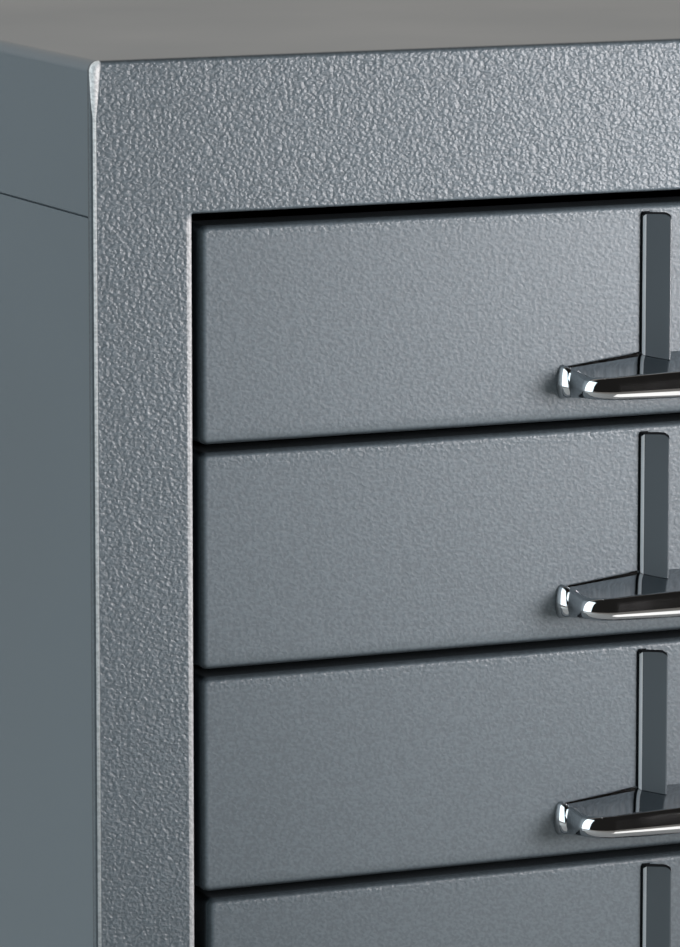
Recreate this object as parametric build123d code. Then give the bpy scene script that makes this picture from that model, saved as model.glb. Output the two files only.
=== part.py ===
"""Small sheet-steel drawer cabinet with five drawers, chrome pulls and card rails.

Millimetres. +Z is up, the drawers face -Y, and +X is to the right seen from the front.
The origin is the middle of the whole object's footprint, on the surface that it stands on.
"""
from build123d import *
import os

# ---------------------------------------------------------------- case
CASE_WIDTH = 340.0          # outside, left to right
CASE_DEPTH = 380.0          # outside, front face to rear edge
SHEET = 1.0                 # side, top, back and base sheet
FRAME_SHEET = 1.2           # front frame sheet
TOP_RAIL = 36.0             # face height above the drawer opening
BOTTOM_RAIL = 21.0          # face height below the drawer opening
STILE_WIDTH = 24.6          # face width beside the drawer opening
CORNER_RETURN = 3.0         # how far the front frame wraps round the corners
OPENING_RETURN = 11.0       # how far the front frame turns in round the opening
SIDE_EDGE_RADIUS = 2.5      # long edge between the top and each side
FRONT_EDGE_RADIUS = 1.1     # edge all round the front face
OPENING_EDGE_RADIUS = 0.9   # edge round the drawer opening
OPENING_CORNER_RADIUS = 0.4
CAP_SKIRT = 35.66           # height of the top cap's side and back skirts
SEAM_GAP = 0.5              # open seam between the top cap and each side panel
SEAM_TAB = 12.0             # side panel tab that stands behind the skirt
PANEL_FLANGE = 16.0         # flanges turned in along the side panel's foot and back
BACK_RECESS = 2.5           # back panel set in from the rear edge
BACK_PANEL_GAP = 0.3        # back panel to side panel, each side
BACK_PANEL_LAP = 24.0       # back panel height behind the cap's skirt
BASE_UPSTAND = 12.0         # upturned edges of the base pan
BASE_SIDE_GAP = 0.2         # base pan to side panel, each side

# ---------------------------------------------------------------- feet and screws
FOOT_HEIGHT = 4.0           # clear height under the case
FOOT_RADIUS = 9.0
FOOT_DRAFT = 1.0            # how much smaller the foot is where it stands
FOOT_INSET = 32.0           # foot centre from the case's outer faces
FOOT_POCKET_RADIUS = 4.2
FOOT_POCKET_DEPTH = 2.6
FOOT_SCREW_RADIUS = 2.0
FOOT_SCREW_HEAD_RADIUS = 3.6
FOOT_SCREW_HEAD_HEIGHT = 1.8
FOOT_SCREW_POINT = 4.0      # how far it stands up inside the base pan
SCREW_HOLE_CLEARANCE = 0.1  # radial, every screw in this cabinet
BACK_SCREW_RADIUS = 1.75
BACK_SCREW_HEAD_RADIUS = 3.5
BACK_SCREW_HEAD_HEIGHT = 2.0
BACK_SCREW_LENGTH = 7.0
BACK_SCREW_ROWS = 3
BACK_SCREW_MARGIN = 30.0    # outermost rows from the side panel's ends
BACK_SCREW_INSET = 9.0      # screw line from the case's outer side

# ---------------------------------------------------------------- drawers
DRAWER_COUNT = 5
FRONT_HEIGHT = 51.0         # drawer front, top edge to bottom edge
FRONT_GAP = 2.0             # between drawer fronts, and below the last
TOP_GAP = 3.0               # above the first drawer front
SIDE_GAP = 2.0              # drawer front to stile, each side
FRONT_RETURN = 12.0         # how deep the drawer front's edges turn back
FRONT_SHEET = 1.0
FRONT_FACE_RADIUS = 1.5     # edge all round the drawer front's face
FRONT_CORNER_RADIUS = 0.8
SHIFTED_DRAWER = 4          # this drawer sits to one side, within its play
DRAWER_SHIFT = 1.5

TRAY_SHEET = 0.9
TRAY_FLOOR_RISE = 3.5       # tray floor above the front's bottom edge
LIP_DROP = 7.0              # tray lip below the front's top edge
LIP_WIDTH = 9.5
LIP_START = 2.5             # lip's front end behind the drawer front's returns
TRAY_REAR_CLEARANCE = 14.0  # tray to the flanges behind it
TRAY_BEND_RADIUS = 1.6      # outside of the fold along the tray's floor

# ---------------------------------------------------------------- runners
RAIL_SHEET = 1.0
RAIL_SETBACK = 0.9          # rail's outer face inside the opening's edge
RAIL_START = 2.0            # rail's front end behind the drawer front's returns
RAIL_END_CLEARANCE = 0.3    # closed drawer to the rail's rear tab
RAIL_TRAY_CLEARANCE = 2.5   # rail legs to the tray wall
GLIDE_LENGTH = 30.0
GLIDE_SIDE_WALL = 1.0
GLIDE_UNDER = 1.8           # nylon under the lip
GLIDE_OVER = 1.2            # nylon over the lip
GLIDE_SIDE_CLEARANCE = 2.0  # drawer's side play on each side
RUNNING_GAP = 0.2           # nylon to steel, vertical
RAIL_HEAD_GAP = 0.4         # glide to the rail's upper leg
PAD_LENGTH = 24.0
PAD_START = 1.0             # pad behind the rail's front end
STOP_GAP = 1.0              # glide to pad with the drawer fully out
POST_WIDTH = 30.0
POST_SHEET = 1.0
POST_FLANGE = 8.0
FRONT_POST_START = 16.0     # front post behind the front face
REAR_POST_END = 30.0        # rear post in front of the rear edge

# ---------------------------------------------------------------- card rails
CARD_SPACE = 47.4           # between the two rails' free edges
CARD_RAIL_WIDTH = 5.7
CARD_RAIL_FOOT = 1.2        # part that lies on the drawer front
CARD_RAIL_SHEET = 0.8
CARD_RAIL_STEP = 1.1        # height where the slanted blade begins
CARD_RAIL_RISE = 4.3        # height of the blade's free edge
CARD_RAIL_TOP = 1.8         # below the front's top edge
CARD_RAIL_CORNER = 1.6      # rounded upper corners
CARD_RAIL_SEAT = 0.2        # above the pull

# ---------------------------------------------------------------- pulls
# Heights are above the drawer front's bottom edge.
PULL_REACH = 13.5           # in front of the drawer face
PULL_HALF_WIDTH = 52.0      # at the drawer face
PULL_CHEEK_HALF_WIDTH = 51.0
PULL_NOSE_HALF_WIDTH = 49.4
PULL_TIP_HALF_WIDTH = 47.8
PULL_CHEEK = 10.2           # where the side walls turn in to the nose
PULL_NOSE = 12.6            # where the nose begins to round over
PULL_LEDGE_HALF = 31.0      # half width of the level ledge under the card
PULL_LEDGE = 15.2           # ledge at the face
PULL_SHOULDER = 13.0        # top of each end at the face
PULL_END_FOOT = 5.4         # bottom of each end at the face
PULL_BACK_FOOT = 1.8        # bottom of the middle at the face
PULL_NOSE_TOP = 11.9        # top edge of the front lip
PULL_NOSE_END_FOOT = 6.8
PULL_NOSE_FOOT = 3.8        # bottom of the front lip at its middle
PULL_TIP_TOP_DROP = 1.7     # how much the lip rounds over at its top
PULL_TIP_FOOT_RISE = 0.8    # and at its bottom
PULL_END_ROUND = 2.0        # how far each end's side bulges
PULL_LIP_WALL = 1.4
PULL_ROOF = 1.6
PULL_HOLLOW_HALF = 40.0     # half width of the finger hollow
PULL_HOLLOW_DROP = 0.5      # hollow's top below the shoulder, at the face
PULL_SCREW_RADIUS = 1.5
PULL_SCREW_HEAD_RADIUS = 2.8
PULL_SCREW_HEAD_HEIGHT = 1.9
PULL_SCREW_SPREAD = 91.0    # between the two screws
PULL_SCREW_HEIGHT = 8.7
PULL_SCREW_BITE = 6.0       # length inside the pull
PULL_SCREW_BLIND = 0.6      # hole beyond the screw's tip

# ---------------------------------------------------------------- places worked out from the above
PAST = 1.0                  # how far a cutter runs past the face that it opens
NEAR = 0.01                 # how far off its plane an edge may lie when edges are picked
PITCH = FRONT_HEIGHT + FRONT_GAP
OPENING_WIDTH = CASE_WIDTH - 2 * STILE_WIDTH
OPENING_HEIGHT = TOP_GAP + DRAWER_COUNT * PITCH
CASE_HEIGHT = TOP_RAIL + OPENING_HEIGHT + BOTTOM_RAIL

X_SIDE = CASE_WIDTH / 2
Y_FRONT = PULL_REACH - (CASE_DEPTH + PULL_REACH) / 2
Y_REAR = Y_FRONT + CASE_DEPTH
Y_WRAP = Y_FRONT + CORNER_RETURN
Z_BASE = FOOT_HEIGHT
Z_TOP = Z_BASE + CASE_HEIGHT
Z_OPENING_FOOT = Z_BASE + BOTTOM_RAIL
Z_OPENING_HEAD = Z_TOP - TOP_RAIL
Z_SKIRT = Z_TOP - CAP_SKIRT
Z_PANEL_TOP = Z_SKIRT - SEAM_GAP

Y_BACK_PANEL = Y_REAR - BACK_RECESS
Y_BACK_FLANGE = Y_BACK_PANEL - SHEET
Y_TRAY_FRONT = Y_FRONT + FRONT_SHEET
Y_TRAY_REAR = Y_BACK_FLANGE - SHEET - TRAY_REAR_CLEARANCE
Y_RETURN_END = Y_FRONT + FRONT_RETURN

X_RAIL = OPENING_WIDTH / 2 - RAIL_SETBACK
X_RAIL_WEB = X_RAIL - RAIL_SHEET
X_GLIDE = X_RAIL_WEB - GLIDE_SIDE_CLEARANCE
X_LIP = X_GLIDE - GLIDE_SIDE_WALL
X_TRAY = X_LIP - LIP_WIDTH
X_RAIL_LEG = X_TRAY + RAIL_TRAY_CLEARANCE
Y_RAIL_FRONT = Y_RETURN_END + RAIL_START
Y_RAIL_REAR = Y_TRAY_REAR + RAIL_END_CLEARANCE + RAIL_SHEET
Y_PAD_FRONT = Y_RAIL_FRONT + PAD_START
Y_PAD_REAR = Y_PAD_FRONT + PAD_LENGTH
Y_GLIDE_FRONT = Y_TRAY_REAR - GLIDE_LENGTH
DRAWER_TRAVEL = Y_GLIDE_FRONT - Y_PAD_REAR - STOP_GAP

LIP_UNDERSIDE_DROP = LIP_DROP + TRAY_SHEET
RAIL_FLOOR_DROP = LIP_UNDERSIDE_DROP + GLIDE_UNDER + RUNNING_GAP
RAIL_HEAD_DROP = LIP_DROP - GLIDE_OVER - RAIL_HEAD_GAP


def block(x_span, y_span, z_span):
    """A solid box between two corners, given as a span on each axis."""
    size = [span[1] - span[0] for span in (x_span, y_span, z_span)]
    middle = [(span[0] + span[1]) / 2 for span in (x_span, y_span, z_span)]
    return Pos(*middle) * Box(*size)


def rod(radius, start, length, direction):
    """A solid cylinder from a start point, along a direction."""
    base = Plane(origin=start, z_dir=direction)
    return base * Cylinder(radius, length, align=(Align.CENTER, Align.CENTER, Align.MIN))


def mirrored(solid):
    """The same solid on the other side of the middle plane."""
    return mirror(solid, about=Plane.YZ)


def fillet_y_edges(solid, radius):
    """Round the edges that run front to back."""
    return fillet(solid.edges().filter_by(Axis.Y), radius)


def drawer_top(number):
    """Height of a drawer front's top edge; drawer 1 is the uppermost."""
    return Z_OPENING_HEAD - TOP_GAP - (number - 1) * PITCH


def drawer_foot(number):
    """Height of a drawer front's bottom edge."""
    return drawer_top(number) - FRONT_HEIGHT


def drawer_shift(number):
    """Sideways place of a drawer within its play."""
    return DRAWER_SHIFT if number == SHIFTED_DRAWER else 0.0


# ---------------------------------------------------------------- case
def make_front_frame():
    outer = block((-X_SIDE, X_SIDE), (Y_FRONT, Y_WRAP), (Z_BASE, Z_TOP))
    outer = fillet_y_edges(outer, SIDE_EDGE_RADIUS)
    face_edges = outer.edges().filter_by_position(Axis.Y, Y_FRONT - NEAR, Y_FRONT + NEAR)
    outer = fillet(face_edges, FRONT_EDGE_RADIUS)
    hollow = block(
        (-X_SIDE + FRAME_SHEET, X_SIDE - FRAME_SHEET),
        (Y_FRONT + FRAME_SHEET, Y_WRAP + PAST),
        (Z_BASE + FRAME_SHEET, Z_TOP - FRAME_SHEET),
    )
    hollow = fillet_y_edges(hollow, SIDE_EDGE_RADIUS - FRAME_SHEET)

    half = OPENING_WIDTH / 2
    collar = block(
        (-half - FRAME_SHEET, half + FRAME_SHEET),
        (Y_FRONT + FRAME_SHEET / 2, Y_FRONT + OPENING_RETURN),
        (Z_OPENING_FOOT - FRAME_SHEET, Z_OPENING_HEAD + FRAME_SHEET),
    )
    collar = fillet_y_edges(collar, OPENING_CORNER_RADIUS + FRAME_SHEET)
    opening = block(
        (-half, half),
        (Y_FRONT - PAST, Y_FRONT + OPENING_RETURN + PAST),
        (Z_OPENING_FOOT, Z_OPENING_HEAD),
    )
    opening = fillet_y_edges(opening, OPENING_CORNER_RADIUS)
    frame = outer - hollow + collar - opening

    rim = frame.edges().filter_by_position(Axis.Y, Y_FRONT - NEAR, Y_FRONT + NEAR)
    rim = rim.filter_by_position(Axis.X, -half - NEAR, half + NEAR)
    rim = rim.filter_by_position(Axis.Z, Z_OPENING_FOOT - NEAR, Z_OPENING_HEAD + NEAR)
    return fillet(rim, OPENING_EDGE_RADIUS)


def make_top_cap():
    outer = block((-X_SIDE, X_SIDE), (Y_WRAP, Y_REAR), (Z_SKIRT, Z_TOP))
    long_edges = outer.edges().filter_by(Axis.Y).group_by(Axis.Z)[-1]
    outer = fillet(long_edges, SIDE_EDGE_RADIUS)
    hollow = block(
        (-X_SIDE + SHEET, X_SIDE - SHEET),
        (Y_WRAP - PAST, Y_REAR - SHEET),
        (Z_SKIRT - PAST, Z_TOP - SHEET),
    )
    long_edges = hollow.edges().filter_by(Axis.Y).group_by(Axis.Z)[-1]
    hollow = fillet(long_edges, SIDE_EDGE_RADIUS - SHEET)
    return outer - hollow


def back_screw_places():
    """X and Z of each back panel screw."""
    low = Z_BASE + BACK_SCREW_MARGIN
    high = Z_PANEL_TOP - BACK_SCREW_MARGIN
    step = (high - low) / (BACK_SCREW_ROWS - 1)
    return [
        (side * (X_SIDE - BACK_SCREW_INSET), low + row * step)
        for side in (-1, 1)
        for row in range(BACK_SCREW_ROWS)
    ]


def make_side_panel():
    """The left side panel; the right one is its mirror image."""
    outside = -X_SIDE
    wall = block((outside, outside + SHEET), (Y_WRAP, Y_REAR), (Z_BASE, Z_PANEL_TOP))
    joggle = block(
        (outside, outside + 2 * SHEET),
        (Y_WRAP, Y_REAR - SHEET),
        (Z_PANEL_TOP - SHEET, Z_PANEL_TOP),
    )
    tab = block(
        (outside + SHEET, outside + 2 * SHEET),
        (Y_WRAP, Y_REAR - SHEET),
        (Z_PANEL_TOP - SHEET, Z_SKIRT + SEAM_TAB),
    )
    foot = block(
        (outside, outside + PANEL_FLANGE),
        (Y_WRAP, Y_REAR),
        (Z_BASE, Z_BASE + SHEET),
    )
    rear = block(
        (outside, outside + PANEL_FLANGE),
        (Y_BACK_FLANGE - SHEET, Y_BACK_FLANGE),
        (Z_BASE, Z_PANEL_TOP),
    )
    panel = wall + joggle + tab + foot + rear
    for x, z in back_screw_places():
        if x < 0:
            hole = BACK_SCREW_RADIUS + SCREW_HOLE_CLEARANCE
            panel -= rod(hole, (x, Y_BACK_PANEL, z), BACK_SCREW_LENGTH + PAST, (0, -1, 0))
    return panel


def make_back_panel():
    half = X_SIDE - SHEET - BACK_PANEL_GAP
    panel = block(
        (-half, half),
        (Y_BACK_FLANGE, Y_BACK_PANEL),
        (Z_BASE + SHEET, Z_SKIRT + BACK_PANEL_LAP),
    )
    # The side panels' tabs stand in the two top corners.
    corner = SHEET + RUNNING_GAP
    for side in (-1, 1):
        x = side * (half - corner / 2)
        notch = Pos(x, Y_BACK_PANEL, Z_SKIRT + BACK_PANEL_LAP)
        panel -= notch * Box(corner, 4 * SHEET, 2 * (BACK_PANEL_LAP + SEAM_GAP + 2 * SHEET))
    for x, z in back_screw_places():
        hole = BACK_SCREW_RADIUS + SCREW_HOLE_CLEARANCE
        panel -= rod(hole, (x, Y_BACK_PANEL + PAST, z), SHEET + 2 * PAST, (0, -1, 0))
    return panel


def make_back_panel_screws():
    screws = []
    for x, z in back_screw_places():
        head = rod(BACK_SCREW_HEAD_RADIUS, (x, Y_BACK_PANEL, z), BACK_SCREW_HEAD_HEIGHT, (0, 1, 0))
        shank = rod(BACK_SCREW_RADIUS, (x, Y_BACK_PANEL, z), BACK_SCREW_LENGTH, (0, -1, 0))
        screws.append(head + shank)
    return screws


def foot_places():
    """X and Y of each foot."""
    x = X_SIDE - FOOT_INSET
    ys = (Y_FRONT + FOOT_INSET, Y_REAR - FOOT_INSET)
    return [(side * x, y) for side in (-1, 1) for y in ys]


def make_base_pan():
    half = X_SIDE - SHEET - BASE_SIDE_GAP
    y_span = (Y_WRAP, Y_BACK_FLANGE - SHEET)
    floor = Z_BASE + SHEET
    pan = block((-half, half), y_span, (floor, floor + SHEET))
    upstand = (floor, floor + BASE_UPSTAND)
    pan += block((-half, half), (y_span[0], y_span[0] + SHEET), upstand)
    pan += block((-half, half), (y_span[1] - SHEET, y_span[1]), upstand)
    for x, y in foot_places():
        hole = FOOT_SCREW_RADIUS + SCREW_HOLE_CLEARANCE
        pan -= rod(hole, (x, y, Z_BASE), 2 * SHEET + PAST, (0, 0, 1))
    return pan


def make_feet():
    feet = []
    height = Z_BASE + SHEET
    for x, y in foot_places():
        foot = Pos(x, y, 0) * Cone(
            FOOT_RADIUS - FOOT_DRAFT,
            FOOT_RADIUS,
            height,
            align=(Align.CENTER, Align.CENTER, Align.MIN),
        )
        foot -= rod(FOOT_POCKET_RADIUS, (x, y, -PAST), FOOT_POCKET_DEPTH + PAST, (0, 0, 1))
        foot -= rod(FOOT_SCREW_RADIUS + SCREW_HOLE_CLEARANCE, (x, y, 0), height + PAST, (0, 0, 1))
        feet.append(foot)
    return feet


def make_foot_screws():
    screws = []
    for x, y in foot_places():
        seat = FOOT_POCKET_DEPTH
        head = rod(FOOT_SCREW_HEAD_RADIUS, (x, y, seat), FOOT_SCREW_HEAD_HEIGHT, (0, 0, -1))
        length = Z_BASE + 2 * SHEET - seat + FOOT_SCREW_POINT
        shank = rod(FOOT_SCREW_RADIUS, (x, y, seat), length, (0, 0, 1))
        screws.append(head + shank)
    return screws


# ---------------------------------------------------------------- runners
def make_post(y_start):
    """One folded channel between the left side panel and the left rails."""
    z_span = (Z_BASE + 2 * SHEET, Z_PANEL_TOP - SHEET)
    y_end = y_start + POST_WIDTH
    wall = -X_SIDE + SHEET
    post = block((-X_RAIL - POST_SHEET, -X_RAIL), (y_start, y_end), z_span)
    for y_leg, y_flange in (
        (y_start, y_start - POST_FLANGE),
        (y_end - POST_SHEET, y_end - POST_SHEET),
    ):
        post += block((wall, -X_RAIL), (y_leg, y_leg + POST_SHEET), z_span)
        flange = (y_flange, y_flange + POST_FLANGE + POST_SHEET)
        post += block((wall, wall + POST_SHEET), flange, z_span)
    return post


def make_posts():
    fronts = Y_FRONT + FRONT_POST_START
    rears = Y_REAR - REAR_POST_END - POST_WIDTH
    return [make_post(fronts), make_post(rears)]


def make_rail(number):
    """The left channel that one drawer's lip runs in, closed at the rear by a tab."""
    top = drawer_top(number)
    z_low = top - RAIL_FLOOR_DROP - RAIL_SHEET
    z_high = top - RAIL_HEAD_DROP + RAIL_SHEET
    y_span = (Y_RAIL_FRONT, Y_RAIL_REAR)
    rail = block((-X_RAIL, -X_RAIL_LEG), y_span, (z_low, z_high))
    groove = block(
        (-X_RAIL_WEB, -X_RAIL_LEG + PAST),
        (Y_RAIL_FRONT - PAST, Y_RAIL_REAR - RAIL_SHEET),
        (z_low + RAIL_SHEET, z_high - RAIL_SHEET),
    )
    return rail - groove


def make_pad(number):
    """The left nylon pad that carries the front of one drawer's lip."""
    floor = drawer_top(number) - RAIL_FLOOR_DROP
    return block(
        (-X_RAIL_WEB, -X_RAIL_LEG),
        (Y_PAD_FRONT, Y_PAD_REAR),
        (floor, floor + GLIDE_UNDER),
    )


# ---------------------------------------------------------------- drawers
def pull_screw_places(number):
    """X and Z of the two screws that hold a pull."""
    z = drawer_foot(number) + PULL_SCREW_HEIGHT
    return [(drawer_shift(number) + side * PULL_SCREW_SPREAD / 2, z) for side in (-1, 1)]


def make_tray(number):
    top = drawer_top(number)
    shift = drawer_shift(number)
    z_low = drawer_foot(number) + TRAY_FLOOR_RISE
    z_high = top - LIP_DROP
    outer = block((-X_TRAY, X_TRAY), (Y_TRAY_FRONT, Y_TRAY_REAR), (z_low, z_high))
    outer = fillet(outer.edges().filter_by(Axis.Y).group_by(Axis.Z)[0], TRAY_BEND_RADIUS)
    inner = block(
        (-X_TRAY + TRAY_SHEET, X_TRAY - TRAY_SHEET),
        (Y_TRAY_FRONT + TRAY_SHEET, Y_TRAY_REAR - TRAY_SHEET),
        (z_low + TRAY_SHEET, z_high + PAST),
    )
    inner = fillet(
        inner.edges().filter_by(Axis.Y).group_by(Axis.Z)[0],
        TRAY_BEND_RADIUS - TRAY_SHEET,
    )
    tray = outer - inner
    for side in (-1, 1):
        ends = sorted((side * (X_TRAY - TRAY_SHEET), side * X_LIP))
        lip_span = (Y_RETURN_END + LIP_START, Y_TRAY_REAR)
        tray += block(ends, lip_span, (z_high - TRAY_SHEET, z_high))
    tray = Pos(shift, 0, 0) * tray
    for x, z in pull_screw_places(number):
        hole = PULL_SCREW_RADIUS + SCREW_HOLE_CLEARANCE
        tray -= rod(hole, (x, Y_TRAY_FRONT - PAST, z), TRAY_SHEET + 2 * PAST, (0, 1, 0))
    return tray


def make_front(number):
    half = OPENING_WIDTH / 2 - SIDE_GAP
    z_span = (drawer_foot(number), drawer_top(number))
    outer = block((-half, half), (Y_FRONT, Y_RETURN_END), z_span)
    outer = fillet_y_edges(outer, FRONT_CORNER_RADIUS + FRONT_SHEET)
    face_edges = outer.edges().filter_by_position(Axis.Y, Y_FRONT - NEAR, Y_FRONT + NEAR)
    outer = fillet(face_edges, FRONT_FACE_RADIUS)
    hollow = block(
        (-half + FRONT_SHEET, half - FRONT_SHEET),
        (Y_FRONT + FRONT_SHEET, Y_RETURN_END + PAST),
        (z_span[0] + FRONT_SHEET, z_span[1] - FRONT_SHEET),
    )
    hollow = fillet_y_edges(hollow, FRONT_CORNER_RADIUS)
    front = Pos(drawer_shift(number), 0, 0) * (outer - hollow)
    for x, z in pull_screw_places(number):
        hole = PULL_SCREW_RADIUS + SCREW_HOLE_CLEARANCE
        front -= rod(hole, (x, Y_FRONT - PAST, z), FRONT_SHEET + 2 * PAST, (0, 1, 0))
    return front


def make_card_rails(number):
    """Two slanted blades beside the card space; each grips one edge of a card."""
    free = CARD_SPACE / 2
    foot = free + CARD_RAIL_WIDTH
    bend = foot - CARD_RAIL_FOOT
    outline = [
        (-foot, 0),
        (-foot, CARD_RAIL_SHEET),
        (-bend - CARD_RAIL_SHEET / 2, CARD_RAIL_STEP),
        (-free, CARD_RAIL_RISE),
        (-free, CARD_RAIL_RISE - CARD_RAIL_SHEET),
        (-bend + CARD_RAIL_SHEET / 2, CARD_RAIL_STEP - CARD_RAIL_SHEET / 2),
        (-bend + CARD_RAIL_SHEET / 2, 0),
    ]
    z_low = drawer_foot(number) + PULL_LEDGE + CARD_RAIL_SEAT
    z_high = drawer_top(number) - CARD_RAIL_TOP
    # In this plane the second coordinate is the height in front of the drawer face.
    ground = Plane(origin=(0, Y_FRONT, z_low), x_dir=(1, 0, 0), z_dir=(0, 0, -1))
    profile = ground * make_face(Polyline(*outline, close=True))
    blade = extrude(profile, amount=z_high - z_low, dir=(0, 0, 1))
    window = block(
        (-foot, -free),
        (Y_FRONT - CARD_RAIL_RISE - PAST, Y_FRONT),
        (z_low - PAST - CARD_RAIL_CORNER, z_high),
    )
    blade &= fillet_y_edges(window, CARD_RAIL_CORNER)
    shift = Pos(drawer_shift(number), 0, 0)
    return [shift * blade, shift * mirrored(blade)]


def pull_section(base, reach, half, shoulder, ledge, end_foot, foot):
    """Closed outline of a pull at one distance in front of the drawer face."""
    side = half - PULL_END_ROUND
    middle = (shoulder + end_foot) / 2
    upright = Plane(origin=(0, Y_FRONT - reach, base), x_dir=(1, 0, 0), z_dir=(0, -1, 0))
    crown = Polyline(
        (-side, shoulder), (-PULL_LEDGE_HALF, ledge), (PULL_LEDGE_HALF, ledge), (side, shoulder)
    )
    right = ThreePointArc((side, shoulder), (half, middle), (side, end_foot))
    belly = ThreePointArc((side, end_foot), (0, foot), (-side, end_foot))
    left = ThreePointArc((-side, end_foot), (-half, middle), (-side, shoulder))
    return upright * make_face([crown, right, belly, left])


def make_pull(number):
    """Cast pull: solid ends, a roof that slopes to the front lip, and a hollow for the fingers."""
    base = drawer_foot(number)

    def part_way(reach, at_face, at_nose):
        return at_face + (at_nose - at_face) * reach / PULL_NOSE

    def body_section(reach, half):
        return pull_section(
            base,
            reach,
            half,
            part_way(reach, PULL_SHOULDER, PULL_NOSE_TOP),
            part_way(reach, PULL_LEDGE, PULL_NOSE_TOP),
            part_way(reach, PULL_END_FOOT, PULL_NOSE_END_FOOT),
            part_way(reach, PULL_BACK_FOOT, PULL_NOSE_FOOT),
        )

    tip = pull_section(
        base,
        PULL_REACH,
        PULL_TIP_HALF_WIDTH,
        PULL_NOSE_TOP - PULL_TIP_TOP_DROP,
        PULL_NOSE_TOP - PULL_TIP_TOP_DROP,
        PULL_NOSE_END_FOOT + PULL_TIP_FOOT_RISE,
        PULL_NOSE_FOOT + PULL_TIP_FOOT_RISE,
    )
    sections = [
        body_section(0, PULL_HALF_WIDTH),
        body_section(PULL_CHEEK, PULL_CHEEK_HALF_WIDTH),
        body_section(PULL_NOSE, PULL_NOSE_HALF_WIDTH),
        tip,
    ]
    body = loft(sections, ruled=True)

    lip_inside = PULL_NOSE - PULL_LIP_WALL
    side_view = Plane(origin=(-PULL_HOLLOW_HALF, Y_FRONT, base), x_dir=(0, -1, 0), z_dir=(-1, 0, 0))
    hollow_outline = Polyline(
        (-PAST, PULL_SHOULDER - PULL_HOLLOW_DROP),
        (lip_inside, PULL_NOSE_TOP - PULL_ROOF),
        (lip_inside, -PAST),
        (-PAST, -PAST),
        close=True,
    )
    hollow = extrude(
        side_view * make_face(hollow_outline), amount=2 * PULL_HOLLOW_HALF, dir=(1, 0, 0)
    )
    pull = Pos(drawer_shift(number), 0, 0) * (body - hollow)
    for x, z in pull_screw_places(number):
        depth = PULL_SCREW_BITE + PULL_SCREW_BLIND
        hole = PULL_SCREW_RADIUS + SCREW_HOLE_CLEARANCE
        pull -= rod(hole, (x, Y_FRONT, z), depth, (0, -1, 0))
    return pull


def make_pull_screws(number):
    seat = Y_TRAY_FRONT + TRAY_SHEET
    screws = []
    for x, z in pull_screw_places(number):
        head = rod(PULL_SCREW_HEAD_RADIUS, (x, seat, z), PULL_SCREW_HEAD_HEIGHT, (0, 1, 0))
        length = seat - Y_FRONT + PULL_SCREW_BITE
        shank = rod(PULL_SCREW_RADIUS, (x, seat, z), length, (0, -1, 0))
        screws.append(head + shank)
    return screws


def make_glides(number):
    """Nylon clips on the rear ends of the tray's lips."""
    lip_top = drawer_top(number) - LIP_DROP
    lip_low = lip_top - TRAY_SHEET
    y_span = (Y_GLIDE_FRONT, Y_TRAY_REAR)
    clip = block((-X_GLIDE, -X_TRAY), y_span, (lip_low - GLIDE_UNDER, lip_top + GLIDE_OVER))
    clip -= block((-X_LIP, -X_TRAY + PAST), y_span, (lip_low, lip_top))
    inner = X_RAIL_LEG
    clip &= block((-X_GLIDE, -inner), y_span, (lip_low - GLIDE_UNDER, lip_top + GLIDE_OVER))
    shift = Pos(drawer_shift(number), 0, 0)
    return [shift * clip, shift * mirrored(clip)]


def save(node, shape):
    """Write one node's solids to its own file."""
    pieces = shape if isinstance(shape, list) else [shape]
    solids = [solid for piece in pieces for solid in piece.solids()]
    export_step(solids[0] if len(solids) == 1 else Compound(solids), f"parts/{node}.step")


def main():
    os.makedirs("parts", exist_ok=True)

    save("front_frame", make_front_frame())
    save("top_cap", make_top_cap())
    side_panel = make_side_panel()
    save("side_panel_left", side_panel)
    save("side_panel_right", mirrored(side_panel))
    save("back_panel", make_back_panel())
    save("back_panel_screws", make_back_panel_screws())
    save("base_pan", make_base_pan())
    save("feet", make_feet())
    save("foot_screws", make_foot_screws())

    numbers = range(1, DRAWER_COUNT + 1)
    for kind, pieces in (
        ("posts", make_posts()),
        ("rails", [make_rail(number) for number in numbers]),
        ("pads", [make_pad(number) for number in numbers]),
    ):
        save(f"runner_{kind}_left", pieces)
        save(f"runner_{kind}_right", [mirrored(piece) for piece in pieces])

    for number in numbers:
        save(f"drawer_{number}_tray", make_tray(number))
        save(f"drawer_{number}_front", make_front(number))
        save(f"drawer_{number}_card_rails", make_card_rails(number))
        save(f"drawer_{number}_pull", make_pull(number))
        save(f"drawer_{number}_pull_screws", make_pull_screws(number))
        save(f"drawer_{number}_glides", make_glides(number))

    print(f"case {CASE_WIDTH:.1f} x {CASE_DEPTH:.1f} x {Z_TOP:.1f}, travel {DRAWER_TRAVEL:.2f}")


main()
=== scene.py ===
"""Looks of the small metal drawer cabinet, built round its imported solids. Metres, +Z up."""

import math

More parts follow.
